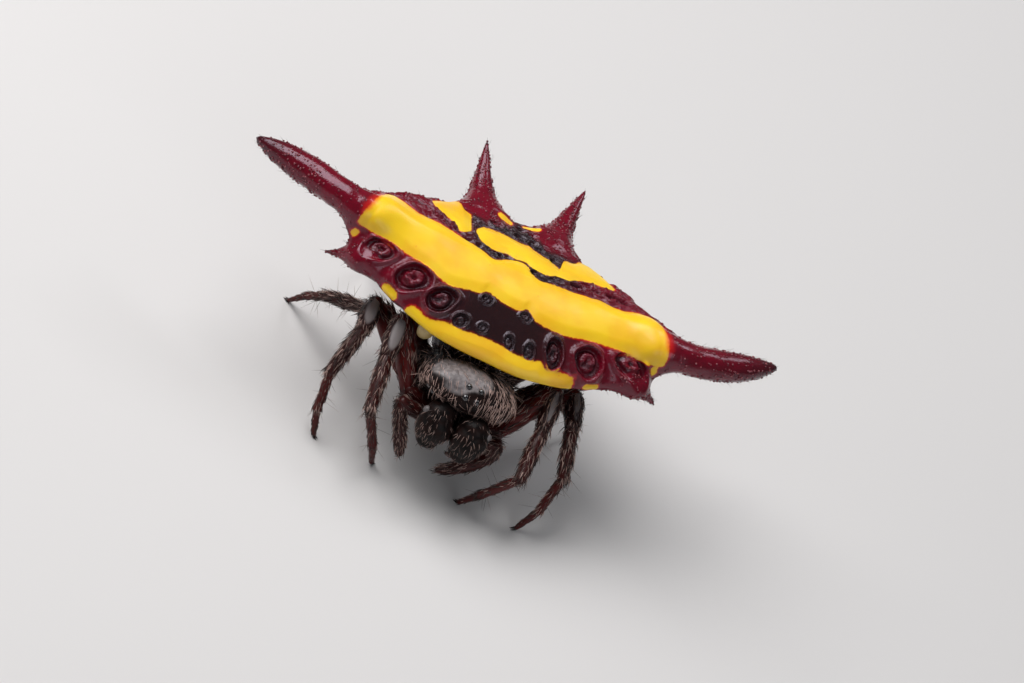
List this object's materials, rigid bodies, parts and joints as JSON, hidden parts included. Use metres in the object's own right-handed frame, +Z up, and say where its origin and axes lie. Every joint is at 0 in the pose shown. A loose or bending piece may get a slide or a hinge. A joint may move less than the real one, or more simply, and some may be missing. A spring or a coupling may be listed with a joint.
{
  "type": "spiny orb weaver spider",
  "caption": "Life-size still spiny orb weaver: wide banded shield with long spines, black bulbous head, jaws, feelers and bent hairy legs standing on their tips.",
  "frame": {"origin": "on the floor, under the middle of the spider's whole box", "axes": "+X towards the spider's left, across the wide abdomen; +Y towards its rear; +Z up"},
  "size_m": [0.017, 0.0098, 0.0062],
  "materials": {
    "shell": "glossy hard shell, yellow bands on dark brown and crimson",
    "head_cuticle": "semi-gloss black cuticle under pale flat hairs",
    "dark_cuticle": "dull dark brown cuticle",
    "leg_cuticle": "dark red-brown cuticle with pale hairs",
    "eye": "polished black"
  },
  "bodies": {
    "root": {"abdomen": "shell", "spinnerets": "dark_cuticle", "cephalothorax": "head_cuticle", "chelicera_left": "head_cuticle", "palp_left": "leg_cuticle", "eye_median_front_left": "eye", "eye_median_rear_left": "eye", "eye_side_front_left": "eye", "eye_side_rear_left": "eye", "leg_1_left": "leg_cuticle", "leg_2_left": "leg_cuticle", "leg_3_left": "leg_cuticle", "leg_4_left": "leg_cuticle", "chelicera_right": "head_cuticle", "palp_right": "leg_cuticle", "eye_median_front_right": "eye", "eye_median_rear_right": "eye", "eye_side_front_right": "eye", "eye_side_rear_right": "eye", "leg_1_right": "leg_cuticle", "leg_2_right": "leg_cuticle", "leg_3_right": "leg_cuticle", "leg_4_right": "leg_cuticle"}
  },
  "joints": []
}
